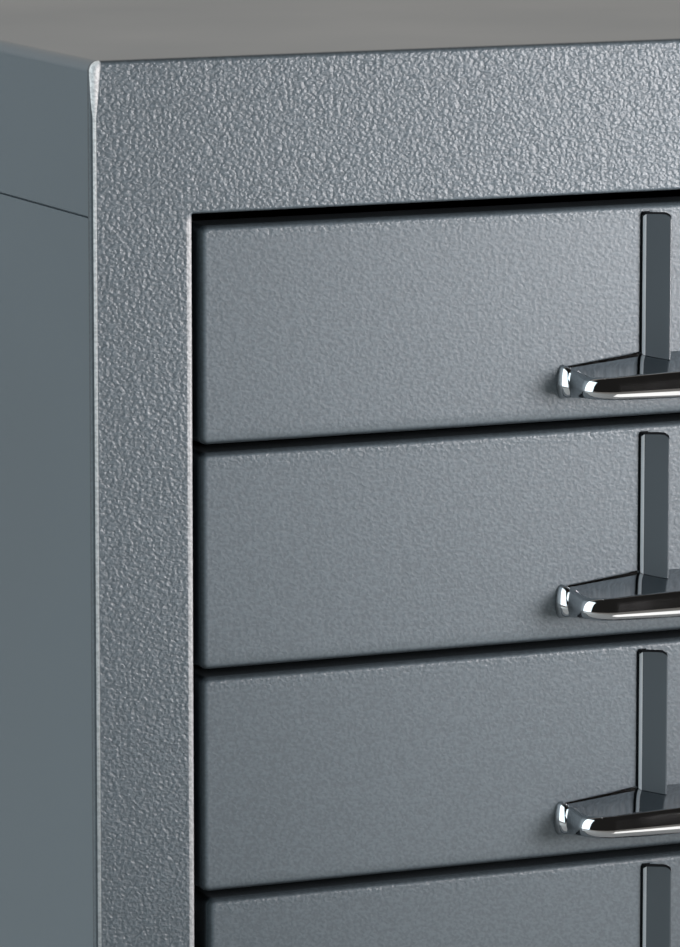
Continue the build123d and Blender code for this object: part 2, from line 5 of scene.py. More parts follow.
import bmesh
import bpy
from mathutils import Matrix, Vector


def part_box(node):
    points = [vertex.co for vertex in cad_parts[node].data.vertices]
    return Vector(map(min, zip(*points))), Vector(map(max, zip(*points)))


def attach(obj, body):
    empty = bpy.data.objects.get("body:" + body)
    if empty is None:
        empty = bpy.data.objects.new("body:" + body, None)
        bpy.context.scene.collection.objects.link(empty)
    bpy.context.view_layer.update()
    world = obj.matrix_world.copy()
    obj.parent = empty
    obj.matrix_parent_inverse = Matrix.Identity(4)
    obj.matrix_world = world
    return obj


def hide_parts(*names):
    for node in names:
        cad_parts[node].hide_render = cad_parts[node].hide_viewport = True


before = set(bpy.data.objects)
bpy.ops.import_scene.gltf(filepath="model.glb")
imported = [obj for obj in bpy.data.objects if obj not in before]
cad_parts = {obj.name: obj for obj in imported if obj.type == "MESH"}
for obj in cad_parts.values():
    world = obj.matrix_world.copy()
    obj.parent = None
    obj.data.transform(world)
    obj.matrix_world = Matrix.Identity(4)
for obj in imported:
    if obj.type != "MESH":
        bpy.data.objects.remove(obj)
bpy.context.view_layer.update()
MM = 0.001

DRAWERS = range(1, 6)
CASE_NODES = ("top_cap", "side_panel_left", "side_panel_right", "back_panel", "base_pan")
STEEL_NODES = (
    "runner_posts_left",
    "runner_posts_right",
    "runner_rails_left",
    "runner_rails_right",
)
NYLON_NODES = ("runner_pads_left", "runner_pads_right")


# ---------------------------------------------------------------- materials
class Paint:
    """A material's node tree, with short calls for the nodes that the finishes share."""

    def __init__(self, name, roughness, metallic=0.0):
        self.material = bpy.data.materials.new(name)
        self.material.use_nodes = True
        self.nodes = self.material.node_tree.nodes
        self.links = self.material.node_tree.links
        self.shader = self.nodes["Principled BSDF"]
        self.shader.inputs["Roughness"].default_value = roughness
        self.shader.inputs["Metallic"].default_value = metallic
        self.place = self.nodes.new("ShaderNodeTexCoord").outputs["Object"]

    def noise(self, scale, detail=2.0, roughness=0.5, distortion=0.0, place=None):
        node = self.nodes.new("ShaderNodeTexNoise")
        node.inputs["Scale"].default_value = scale
        node.inputs["Detail"].default_value = detail
        node.inputs["Roughness"].default_value = roughness
        node.inputs["Distortion"].default_value = distortion
        self.links.new(place or self.place, node.inputs["Vector"])
        return node.outputs["Fac"]

    def cells(self, scale, smoothness=1.0, place=None):
        node = self.nodes.new("ShaderNodeTexVoronoi")
        node.feature = "SMOOTH_F1"
        node.inputs["Scale"].default_value = scale
        node.inputs["Smoothness"].default_value = smoothness
        self.links.new(place or self.place, node.inputs["Vector"])
        return node.outputs["Distance"]

    def stretched(self, factors):
        node = self.nodes.new("ShaderNodeVectorMath")
        node.operation = "MULTIPLY"
        node.inputs[1].default_value = factors
        self.links.new(self.place, node.inputs[0])
        return node.outputs["Vector"]

    def axes(self):
        node = self.nodes.new("ShaderNodeSeparateXYZ")
        self.links.new(self.place, node.inputs["Vector"])
        return node.outputs["X"], node.outputs["Y"], node.outputs["Z"]

    def math(self, operation, first, second=0.0):
        node = self.nodes.new("ShaderNodeMath")
        node.operation = operation
        for index, value in enumerate((first, second)):
            if isinstance(value, (int, float)):
                node.inputs[index].default_value = value
            else:
                self.links.new(value, node.inputs[index])
        return node.outputs["Value"]

    def between(self, source, low, high, out_low, out_high):
        node = self.nodes.new("ShaderNodeMapRange")
        for socket, value in (
            ("Value", source),
            ("From Min", low),
            ("From Max", high),
            ("To Min", out_low),
            ("To Max", out_high),
        ):
            if isinstance(value, (int, float)):
                node.inputs[socket].default_value = value
            else:
                self.links.new(value, node.inputs[socket])
        return node.outputs["Result"]

    def color_between(self, source, stops):
        node = self.nodes.new("ShaderNodeValToRGB")
        ramp = node.color_ramp
        while len(ramp.elements) < len(stops):
            ramp.elements.new(0.5)
        for element, (position, color) in zip(ramp.elements, stops):
            element.position = position
            element.color = (*color, 1.0)
        self.links.new(source, node.inputs["Fac"])
        return node.outputs["Color"]

    def mixed(self, factor, first, second):
        """First color where factor is 0, second where it is 1; second may be plain numbers."""
        node = self.nodes.new("ShaderNodeMix")
        node.data_type = "RGBA"
        self.links.new(factor, node.inputs["Factor"])
        self.links.new(first, node.inputs["A"])
        node.inputs["B"].default_value = (*second, 1.0)
        return node.outputs["Result"]

    def scaled(self, color, factor):
        node = self.nodes.new("ShaderNodeVectorMath")
        node.operation = "SCALE"
        self.links.new(color, node.inputs[0])
        self.links.new(factor, node.inputs["Scale"])
        return node.outputs["Vector"]

    def set(self, socket, source):
        self.links.new(source, self.shader.inputs[socket])

    def bump(self, height, distance):
        node = self.nodes.new("ShaderNodeBump")
        node.inputs["Strength"].default_value = 1.0
        node.inputs["Distance"].default_value = distance
        self.links.new(height, node.inputs["Height"])
        self.links.new(node.outputs["Normal"], self.shader.inputs["Normal"])


def tint(color, factor):
    return tuple(min(1.0, part * factor) for part in color)


# Line of painted highlight down the case's upright front corners, partly worn coat at the top.
CORNER_LINE_PIVOT = 2.5 * MM                # the turning point lies this far inside both faces of the corner
CORNER_LINE_ANGLE = math.radians(40)        # middle of the line of painted highlight and worn coat, turned from the front face
CORNER_LINE_ANGLE_TOP = math.radians(47)
CORNER_LINE_HALF_WIDTH = math.radians(9)
CORNER_LINE_HALF_WIDTH_TOP = math.radians(43)
CORNER_LINE_WEDGE = 13 * MM                 # how far down the line stays wider
CORNER_LINE_FADE_END = 90 * MM              # height where the line is faintest
CORNER_LINE_FAINT, CORNER_LINE_STRONG = 0.35, 0.9  # strength at that height and below the wedge


def corner_wear_and_highlight(paint):
    """Nearly 1 on a line down the case's upright front corners, wider at the top: a painted highlight,
    partly worn coat.
    """
    low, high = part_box("front_frame")
    x, y, z = paint.axes()
    aside = paint.math("MAXIMUM", paint.math("SUBTRACT", paint.math("ABSOLUTE", x), high.x - CORNER_LINE_PIVOT))
    ahead = paint.math("MAXIMUM", paint.math("SUBTRACT", low.y + CORNER_LINE_PIVOT, y))
    turned = paint.math("ARCTAN2", aside, ahead)
    wedge = high.z - CORNER_LINE_WEDGE
    middle = paint.between(z, wedge, high.z, CORNER_LINE_ANGLE, CORNER_LINE_ANGLE_TOP)
    off = paint.math("ABSOLUTE", paint.math("SUBTRACT", turned, middle))
    half = paint.between(z, wedge, high.z, CORNER_LINE_HALF_WIDTH, CORNER_LINE_HALF_WIDTH_TOP)
    line = paint.between(off, paint.math("MULTIPLY", half, 0.7), half, 1.0, 0.0)
    fading = paint.between(z, CORNER_LINE_FADE_END, wedge, CORNER_LINE_FAINT, CORNER_LINE_STRONG)
    strength = paint.math("MAXIMUM", fading, paint.between(z, wedge, high.z, 0.0, 1.0))
    return paint.math("MULTIPLY", line, strength)


OPENING_GAP = 2.0 * MM               # beside the drawer fronts
OPENING_LINE_MIDDLE = 0.70 * MM      # from the opening's side
OPENING_LINE_CORE, OPENING_LINE_HALF = 0.5 * MM, 0.9 * MM
# Strength of the painted highlight line on the opening's edges.
OPENING_LINE_STRENGTH = 0.42


def opening_highlight(paint):
    """Painted highlight line on the rounded upright edges of the drawer opening."""
    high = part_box("drawer_1_front")[1]
    frame_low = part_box("front_frame")[0]
    x, y, z = paint.axes()
    middle = high.x + OPENING_GAP + OPENING_LINE_MIDDLE
    off = paint.math("ABSOLUTE", paint.math("SUBTRACT", paint.math("ABSOLUTE", x), middle))
    line = paint.between(off, OPENING_LINE_CORE, OPENING_LINE_HALF, OPENING_LINE_STRENGTH, 0.0)
    below = paint.between(z, high.z + 1.5 * MM, high.z + 3.0 * MM, 1.0, 0.0)
    near = paint.between(y, frame_low.y + 0.6 * MM, frame_low.y + 0.9 * MM, 1.0, 0.0)
    return paint.math("MULTIPLY", paint.math("MULTIPLY", line, below), near)


DRAWER_PITCH = 53 * MM
EDGE_WEAR_AND_HIGHLIGHT_COLOR = (0.90, 0.90, 0.90)      # painted highlight on the corner and opening lines, on the corners partly worn coat
EDGE_BAND, EDGE_GAIN = 4.0 * MM, 2.5     # rougher grain below a drawer front's top edge
ROLL_OFF = 3.6 * MM                  # how far up the bottom edge starts to turn under
ROLL_DEPTH = 0.45 * MM
GRAIN_STRETCH = (1.0, 1.0, 1.25)
PEBBLE_WEIGHT, FINE_WEIGHT = -0.5, 0.10
SIDE_GRAIN = 0.12                    # share of the grain left where the sheet turns away
TURN_SHADE, TURN_GLOSS = 0.5, 0.2    # painted shade and lower gloss on the rounded edges round a face
GAP_SHADE = 0.45                     # painted shade in the gaps beside the drawers
# Painted shade where a drawer front's bottom edge turns under.
ROLL_SHADE = 0.75


def powder_coat(name, color, cell, relief, roughness, fleck, face_y, edges=(), rolled_from=None):
    """Powder coat with a raised grain, smoother where the sheet turns away behind face_y.

    cell is the grain's size and relief its height, in metres. edges gives the lines of painted highlight,
    on the corners partly worn coat. rolled_from is the lowest drawer front's bottom edge, from which the
    fronts repeat.
    """
    paint = Paint(name, roughness)
    place = paint.stretched(GRAIN_STRETCH)
    worms = paint.noise(1 / cell, detail=0.0, distortion=0.4, place=place)
    fine = paint.noise(2.3 / cell, detail=1.0)
    pebbles = paint.cells(0.72 / cell, smoothness=0.7, place=place)
    pebbles = paint.math("MULTIPLY", pebbles, PEBBLE_WEIGHT)
    grain = paint.math("ADD", worms, paint.math("ADD", pebbles, paint.math("MULTIPLY", fine, FINE_WEIGHT)))
    y, z = paint.axes()[1:]
    facing = paint.between(y, face_y + 0.03 * MM, face_y + 0.30 * MM, 1.0, SIDE_GRAIN)
    grain = paint.math("MULTIPLY", grain, facing)
    cloud = paint.noise(14.0, detail=3.0)
    mottle = paint.math("ADD", paint.math("MULTIPLY", cloud, 0.25), paint.math("MULTIPLY", worms, 0.75))
    stops = ((0.36, tint(color, 1 - fleck)), (0.64, tint(color, 1 + fleck)))
    base = paint.color_between(mottle, stops)
    turning = paint.math(
        "MULTIPLY",
        paint.between(y, face_y + 0.05 * MM, face_y + 0.40 * MM, 0.0, 1.0),
        paint.between(y, face_y + 1.0 * MM, face_y + 1.6 * MM, 1.0, 0.0),
    )
    # Painted shade on the rounded edges round the face.
    base = paint.scaled(base, paint.between(turning, 0.0, 1.0, 1.0, TURN_SHADE))
    # Lines of painted highlight, on the corners partly worn coat, are mixed into the base colour.
    for edge in edges:
        wear_and_highlight = edge(paint)
        ragged = paint.between(worms, 0.40, 0.56, 0.75, 1.0)
        base = paint.mixed(paint.math("MULTIPLY", wear_and_highlight, ragged), base, EDGE_WEAR_AND_HIGHLIGHT_COLOR)
        grain = paint.math("MULTIPLY", grain, paint.between(wear_and_highlight, 0.0, 0.5, 1.0, 0.35))
    height = grain
    # Painted shade in the gaps, behind the face.
    base = paint.scaled(base, paint.between(y, face_y + 1.5 * MM, face_y + 3.0 * MM, 1.0, GAP_SHADE))
    if rolled_from is not None:
        up = paint.math("MODULO", paint.math("SUBTRACT", z, rolled_from), DRAWER_PITCH)
        low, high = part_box("drawer_1_front")
        top = high.z - low.z
        gain = paint.between(up, top - EDGE_BAND, top - 0.5 * MM, 1.0, EDGE_GAIN)
        height = paint.math("MULTIPLY", grain, gain)
        # Painted shade, with the bump's fall, near the bottom edge.
        turned = paint.math("POWER", paint.between(up, 0.0, ROLL_OFF, 1.0, 0.0), 2.0)
        base = paint.scaled(base, paint.between(turned, 0.0, 1.0, 1.0, ROLL_SHADE))
        fall = paint.math("MULTIPLY", turned, ROLL_DEPTH / relief)
        height = paint.math("SUBTRACT", height, fall)
    paint.bump(height, relief)
    paint.set("Base Color", base)
    paint.set("Specular IOR Level", paint.between(turning, 0.0, 1.0, 0.5, TURN_GLOSS))
    paint.set("Roughness", paint.between(fine, 0.3, 0.7, roughness - 0.05, roughness + 0.06))
    return paint.material


def smooth_coat(name, color, roughness):
    """Smooth stoved enamel with a faint orange peel."""
    paint = Paint(name, roughness)
    peel = paint.noise(420.0, detail=2.0)
    cloud = paint.noise(9.0, detail=3.0)
    paint.bump(peel, 0.006 * MM)
    stops = ((0.3, tint(color, 0.97)), (0.7, tint(color, 1.03)))
    paint.set("Base Color", paint.color_between(cloud, stops))
    paint.set("Roughness", paint.between(cloud, 0.3, 0.7, roughness - 0.03, roughness + 0.03))
    return paint.material


def chrome_plate(name):
    paint = Paint(name, 0.04, metallic=1.0)
    haze = paint.noise(60.0, detail=4.0)
    polish = paint.noise(1.0, detail=2.0, place=paint.stretched((30.0, 900.0, 900.0)))
    stops = ((0.35, (0.50, 0.51, 0.52)), (0.75, (0.57, 0.57, 0.58)))
    paint.set("Base Color", paint.color_between(haze, stops))
    paint.set("Roughness", paint.between(haze, 0.35, 0.75, 0.03, 0.08))
    paint.bump(polish, 0.0006 * MM)
    return paint.material


def zinc_plate(name, color, roughness, spangle=90.0):
    paint = Paint(name, roughness, metallic=1.0)
    patches = paint.cells(spangle, smoothness=0.2)
    rolled = paint.noise(1.0, detail=2.0, place=paint.stretched((400.0, 12.0, 400.0)))
    stops = ((0.1, tint(color, 0.9)), (0.7, tint(color, 1.06)))
    paint.set("Base Color", paint.color_between(patches, stops))
    paint.set("Roughness", paint.between(rolled, 0.3, 0.7, roughness - 0.06, roughness + 0.08))
    paint.bump(rolled, 0.004 * MM)
    return paint.material


def moulded(name, color, roughness, grain=900.0):
    """Moulded nylon or rubber with a fine matt grain."""
    paint = Paint(name, roughness)
    grit = paint.noise(grain, detail=2.0)
    cloud = paint.noise(60.0, detail=3.0)
    paint.bump(grit, 0.02 * MM)
    stops = ((0.3, tint(color, 0.92)), (0.7, tint(color, 1.08)))
    paint.set("Base Color", paint.color_between(cloud, stops))
    paint.set("Roughness", paint.between(grit, 0.3, 0.7, roughness - 0.05, roughness + 0.05))
    return paint.material


PAINT_COLOR = (0.100, 0.127, 0.146)
FRAME_PAINT = powder_coat(
    "frame_powder_coat",
    PAINT_COLOR,
    cell=0.92 * MM,
    relief=0.25 * MM,
    roughness=0.42,
    fleck=0.13,
    face_y=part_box("front_frame")[0].y,
    edges=(corner_wear_and_highlight, opening_highlight),
)
DRAWER_PAINT = powder_coat(
    "drawer_powder_coat",
    PAINT_COLOR,
    cell=0.88 * MM,
    relief=0.06 * MM,
    roughness=0.42,
    fleck=0.11,
    face_y=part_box("drawer_1_front")[0].y,
    rolled_from=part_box("drawer_5_front")[0].z,
)
CASE_PAINT = smooth_coat("case_enamel", PAINT_COLOR, 0.34)
# Painted shade: the case paint darkened for the slanted card rail blades.
CARD_RAIL_SHADED_PAINT = smooth_coat("card_rail_shaded_enamel", tint(PAINT_COLOR, 0.62), 0.24)
# Painted highlight on the card rails' bend.
CARD_RAIL_HIGHLIGHT = smooth_coat("card_rail_painted_highlight", (0.62, 0.64, 0.66), 0.28)
# Near-black painted shadow for the card rails' wall, top cap and slot sheet.
SLOT_SHADE = smooth_coat("card_rail_painted_shadow", (0.010, 0.012, 0.014), 0.9)
SLOT_SHADE.node_tree.nodes["Principled BSDF"].inputs["Specular IOR Level"].default_value = 0.1
CHROME = chrome_plate("chrome_plate")
ZINC = zinc_plate("bright_zinc", (0.62, 0.63, 0.64), 0.28)
GALVANISED = zinc_plate("galvanised_sheet", (0.50, 0.52, 0.54), 0.42)
NYLON = moulded("natural_nylon", (0.76, 0.74, 0.68), 0.45)
RUBBER = moulded("black_rubber", (0.028, 0.028, 0.029), 0.7)


def finish_node(name, material):
    """Give a CAD node one finish."""
    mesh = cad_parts[name].data
    mesh.materials.clear()
    mesh.materials.append(material)


finish_node("front_frame", FRAME_PAINT)
for node in CASE_NODES:
    finish_node(node, CASE_PAINT)
for node in STEEL_NODES:
    finish_node(node, GALVANISED)
for node in NYLON_NODES:
    finish_node(node, NYLON)
finish_node("feet", RUBBER)
finish_node("foot_screws", ZINC)
finish_node("back_panel_screws", ZINC)
for number in DRAWERS:
    finish_node(f"drawer_{number}_tray", DRAWER_PAINT)
    finish_node(f"drawer_{number}_front", DRAWER_PAINT)
    finish_node(f"drawer_{number}_pull_screws", ZINC)
    finish_node(f"drawer_{number}_glides", NYLON)


# ---------------------------------------------------------------- pieces on the drawer fronts
# Millimetres on a drawer's face: across from its middle, out of the face, up from its bottom edge.
class FacePiece:
    """Closed islands of one mesh on a drawer's face."""

    def __init__(self, number):
        low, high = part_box(f"drawer_{number}_front")
        self.number = number
        self.origin = Vector(((low.x + high.x) / 2, low.y, low.z))
        self.height = (high.z - low.z) / MM
        self.points = []
        self.faces = []
        self.shades = []

    def tube(self, rings, shades=None):
        """Skin through closed rings of equal length, with a cap on each end.

        shades gives the material's number for each row between two rings.
        """
        first = len(self.points)
        size = len(rings[0])
        for ring in rings:
            for across, out, up in ring:
                self.points.append(self.origin + Vector((across, -out, up)) * MM)
        for row in range(len(rings) - 1):
            for step in range(size):
                here = first + row * size
                after = (step + 1) % size
                self.faces.append((here + step, here + after, here + size + after, here + size + step))
                self.shades.append(shades[row] if shades else 0)
        self.faces.append(tuple(range(first, first + size)))
        last = first + (len(rings) - 1) * size
        self.faces.append(tuple(range(last, last + size)))
        self.shades += [shades[0], shades[-1]] if shades else [0, 0]

    def both_sides(self, rings, shades=None):
        self.tube(rings, shades)
        self.tube([[(-across, out, up) for across, out, up in ring] for ring in rings], shades)

    def finish(self, name, materials, replaced):
        mesh = bpy.data.meshes.new(name)
        mesh.from_pydata(self.points, [], self.faces)
        shape = bmesh.new()
        shape.from_mesh(mesh)
        bmesh.ops.recalc_face_normals(shape, faces=shape.faces)
        for face, shade in zip(shape.faces, self.shades):
            face.smooth = True
            face.material_index = shade
        shape.to_mesh(mesh)
        shape.free()
        mesh.set_sharp_from_angle(angle=math.radians(32))
        for material in materials:
            mesh.materials.append(material)
        piece = bpy.data.objects.new(name, mesh)
        bpy.context.scene.collection.objects.link(piece)
        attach(piece, f"drawer_{self.number}")
        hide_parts(replaced)


def share(low, high, part):
    return low + (high - low) * part


def steps(count):
    return [index / count for index in range(count + 1)]


PULL_REACH = 13.4           # out of the drawer face
PULL_HALF = 52.0            # half width at the drawer face
# Plan of each end, from the face round to the front: a run, and the angles from the front through
# which its skin turns.
PULL_END_PLAN = (
    (1.1, 84, 66),
    (2.75, 66, 45),
    (4.7, 82, 75),
    (0.6, 75, 64),
    (3.3, 64, 42),
    (6.8, 42, 0),
)
PULL_END_STEP = 0.45
PULL_BULB_RUN, PULL_CHEEK_RUN = 3.85, 8.55      # runs to the bulb's end and to the cheek's
PULL_FRONT_RUN = 99.0       # any run past the end's
PULL_BOW_HALF = 49.0        # the front's top and foot bow over this half width
BULB_TOP, CHEEK_TOP, CORNER_TOP, MIDDLE_TOP = 13.7, 12.7, 11.5, 12.5
BULB_FOOT, CHEEK_FOOT, CORNER_FOOT, MIDDLE_FOOT = 5.4, 5.95, 6.4, 5.5
PULL_LEDGE, PULL_LEDGE_HALF = 15.2, 30.2
RIM_SIDE_HEIGHT = 13.0
BAR_UPPER_DEPTH = 1.8       # how far the bar's upper half rounds back
BAR_LOWER_DEPTH = 1.5
BAR_UPPER_TURN = math.radians(72)    # the upper half's ellipse stops here, short of level
BAR_LOWER_CREASE = math.radians(20)  # the lower half starts this far round
BAR_THICKNESS = 2.6
PLATE_DROP = 0.3            # plate below the bar's top
PLATE_THICKNESS = 1.8
PLATE_DISH = 0.25
PLATE_INSET = 2.0           # plate's edge inside the bar's outer skin
PLATE_FRONT = PULL_REACH - PLATE_INSET
RIM_BEAD = 0.36             # radius
RIM_BEAD_INSET = 2.6
END_BLOCK = ((-47.6, 8.0), (-46.0, 9.8), (-40.0, 11.0))     # across, and depth out of the face
END_BLOCK_FOOT, END_BLOCK_DROP = 0.7, 1.3       # above the bar's foot, below its top


def end_plan():
    """Stations round one end of the pull: place, outward direction and run from the face."""
    across, out, run = -PULL_HALF, 0.0, 0.0
    stations = []
    for length, first, last in PULL_END_PLAN:
        count = max(3, round(length / PULL_END_STEP))
        for part in steps(count):
            turn = math.radians(share(first, last, part))
            if part:
                half_turn = math.radians(share(first, last, part - 0.5 / count))
                across += length / count * math.cos(half_turn)
                out += length / count * math.sin(half_turn)
                run += length / count
            if part or first > 80:
                stations.append(((across, min(out, PULL_REACH)), (-math.sin(turn), math.cos(turn)), run))
    return stations


END_PLAN = end_plan()
PULL_FRONT_HALF = -END_PLAN[-1][0][0]


def side_at(out):
    """Half width over the bar at one distance from the face."""
    for (place, _, _), (after, _, _) in zip(END_PLAN, END_PLAN[1:]):
        if place[1] <= out <= after[1] and after[1] > place[1]:
            return -share(place[0], after[0], (out - place[1]) / (after[1] - place[1]))
    return PULL_FRONT_HALF


def bar_levels(across, run):
    """Top and foot of the bar, by its run round the end or its place along the front."""
    if run <= PULL_BULB_RUN:
        part = run / PULL_BULB_RUN
        return share(BULB_TOP, CHEEK_TOP, part**2), share(BULB_FOOT, CHEEK_FOOT, part)
    if run <= PULL_CHEEK_RUN:
        part = (run - PULL_BULB_RUN) / (PULL_CHEEK_RUN - PULL_BULB_RUN)
        return share(CHEEK_TOP, CORNER_TOP, part), share(CHEEK_FOOT, CORNER_FOOT, part)
    bow = 1.0 - min(1.0, abs(across) / PULL_BOW_HALF) ** 2
    return share(CORNER_TOP, MIDDLE_TOP, bow), share(CORNER_FOOT, MIDDLE_FOOT, bow)


def bar_stations():
    """Plan of the pull's bar, left end to right end: place, outward direction and levels."""
    half = [(place, way, bar_levels(place[0], run)) for place, way, run in END_PLAN]
    for part in steps(12)[1:]:
        across = share(-PULL_FRONT_HALF, 0.0, part)
        half.append(((across, PULL_REACH), (0.0, 1.0), bar_levels(across, PULL_FRONT_RUN)))
    other = [((-across, out), (-way[0], way[1]), levels) for (across, out), way, levels in half[:-1]]
    return half + other[::-1]


def bar_ring(place, way, levels):
    """Upright outline of the bar at one station."""
    (across, out), (top, foot) = place, levels
    widest = share(top, foot, share(0.60, 0.70, way[1]))
    outline = []
    last_side, last_depth = math.cos(BAR_UPPER_TURN), math.sin(BAR_UPPER_TURN)
    for part in steps(9):
        turn = part * BAR_UPPER_TURN
        back = BAR_UPPER_DEPTH * (1 - math.sin(turn) / last_depth)
        outline.append((back, share(widest, top, (math.cos(turn) - last_side) / (1 - last_side))))
    side, depth = math.sin(BAR_LOWER_CREASE), math.cos(BAR_LOWER_CREASE)
    for part in (0.04, 0.2, 0.36, 0.52, 0.68, 0.84, 1.0):
        turn = share(BAR_LOWER_CREASE, math.pi / 2, part)
        back = BAR_LOWER_DEPTH * (1 - math.cos(turn) / depth)
        outline.append((back, share(widest, foot, (math.sin(turn) - side) / (1 - side))))
    outline += [
        (share(BAR_LOWER_DEPTH, BAR_THICKNESS, 0.7), foot + 0.15),
        (BAR_THICKNESS, foot + 0.6),
        (BAR_THICKNESS, top - 0.7),
        (share(BAR_UPPER_DEPTH, BAR_THICKNESS, 0.75), top - 0.2),
    ]
    return [(across - back * way[0], max(0.0, out - back * way[1]), up) for back, up in outline]


def rim_height(across):
    """Height of the plate's rear edge on the drawer face."""
    part = min(1.0, max(0.0, (PULL_HALF - abs(across)) / (PULL_HALF - PULL_LEDGE_HALF)))
    return share(RIM_SIDE_HEIGHT - PLATE_DROP, PULL_LEDGE, part)


def plate_height(across, out):
    """Height of the plate's top, which sags a little between the drawer face and the bar."""
    part = min(1.0, out / PLATE_FRONT)
    front = bar_levels(across, PULL_FRONT_RUN)[0] - PLATE_DROP
    height = share(rim_height(across), front, part)
    return height - PLATE_DISH * math.sin(math.pi * part)


def plate_ring(out):
    """Across the plate at one distance from the face, over its top and back under it."""
    half = side_at(out) - PLATE_INSET
    upper = []
    for index in range(-24, 25):
        across = half * index / 24
        upper.append((across, out, plate_height(across, out)))
    return upper + [(across, out, up - PLATE_THICKNESS) for across, out, up in reversed(upper)]


def rim_bead():
    """Bead along the plate's rear edge, from the side bar up to the ledge."""
    rings = []
    for part in steps(10):
        across = share(-PULL_HALF + RIM_BEAD_INSET, -PULL_LEDGE_HALF, part)
        radius = RIM_BEAD * (0.45 + 0.55 * part)
        centre = rim_height(across) + 0.1
        rings.append(
            [
                (
                    across,
                    radius * (1 + math.cos(turn * math.pi / 5)),
                    centre + radius * math.sin(turn * math.pi / 5),
                )
                for turn in range(10)
            ]
        )
    return rings


def end_block():
    """Solid end between the side bar and the finger hollow, which takes the pull's screw."""
    rings = []
    for across, front in END_BLOCK:
        rings.append(
            [
                (across, 0.0, CHEEK_FOOT + END_BLOCK_FOOT),
                (across, front, CORNER_FOOT + END_BLOCK_FOOT),
                (across, front, CORNER_TOP - END_BLOCK_DROP),
                (across, 0.0, rim_height(across) - END_BLOCK_DROP),
            ]
        )
    return rings


def make_pull(number):
    piece = FacePiece(number)
    piece.tube([bar_ring(*station) for station in bar_stations()])
    piece.tube([plate_ring(PLATE_FRONT * part) for part in steps(8)])
    piece.both_sides(rim_bead())
    piece.both_sides(end_block())
    piece.finish(f"pull_{number}", (CHROME,), f"drawer_{number}_pull")


RAIL_FREE_EDGE = 23.7       # half the card's space
RAIL_WIDTH = 5.7
RAIL_SHEET = 0.8
RAIL_WALL = 0.35            # upright part beside the bend
RAIL_BEND = 1.2
RAIL_SLOPE = math.radians(31)
RAIL_TOP = 1.8              # below the drawer front's top edge
RAIL_SEAT = 0.1             # above the pull's plate
RAIL_OUTER_CORNER, RAIL_FREE_CORNER = 0.8, 1.7
RAIL_SLOT_SHADOW = 0.5             # painted shadow sheet beside the blade, where the slot's shade shows
RAIL_SLOT_SHADOW_PROUD = 0.08
RAIL_CAP_SHADOW = 0.42             # painted shadow along the blade's upper edge
RAIL_CAP_SHADOW_PROUD = 0.05
# Materials of a card rail, by number.
RAIL_BLADE, RAIL_HIGHLIGHT, RAIL_SHADE = 0, 1, 2
RAIL_HIGHLIGHT_ROWS = 9          # the painted highlight on the bend ends at this row of the skin


def rail_stations():
    """Outer and inner point of the folded blade, from its foot to its free edge and round it."""
    radii = (RAIL_BEND, RAIL_BEND - RAIL_SHEET)
    stations = [((0.0, 0.0), (RAIL_SHEET, 0.0))]
    for part in steps(10):
        turn = share(math.pi / 2, RAIL_SLOPE, part)
        way = (-math.sin(turn), math.cos(turn))
        pair = [(RAIL_BEND + radius * way[0], RAIL_WALL + radius * way[1]) for radius in radii]
        stations.append(tuple(pair))
    (start, rise), (inner_start, inner_rise) = stations[-1]
    run = RAIL_WIDTH - RAIL_SHEET / 2 - start
    slope = math.tan(RAIL_SLOPE)
    for part in steps(6)[1:]:
        step = run * part
        stations.append(
            ((start + step, rise + step * slope), (inner_start + step, inner_rise + step * slope))
        )
    (outer_x, outer_up), (inner_x, inner_up) = stations[-1]
    middle = ((outer_x + inner_x) / 2, (outer_up + inner_up) / 2)
    for part in steps(6)[1:-1]:
        turn = part * math.pi / 2
        half = RAIL_SHEET / 2
        forward = (math.cos(RAIL_SLOPE), math.sin(RAIL_SLOPE))
        upward = (-math.sin(RAIL_SLOPE), math.cos(RAIL_SLOPE))
        pair = [
            tuple(
                middle[axis] + half * (math.sin(turn) * forward[axis] + sign * math.cos(turn) * upward[axis])
                for axis in (0, 1)
            )
            for sign in (1, -1)
        ]
        stations.append(tuple(pair))
    return stations


def corner_drop(distance, radius):
    """How far a rounded corner's edge lies below its top, this far in from the side."""
    inside = max(0.0, radius - max(0.0, distance))
    return radius - math.sqrt(radius**2 - inside**2)


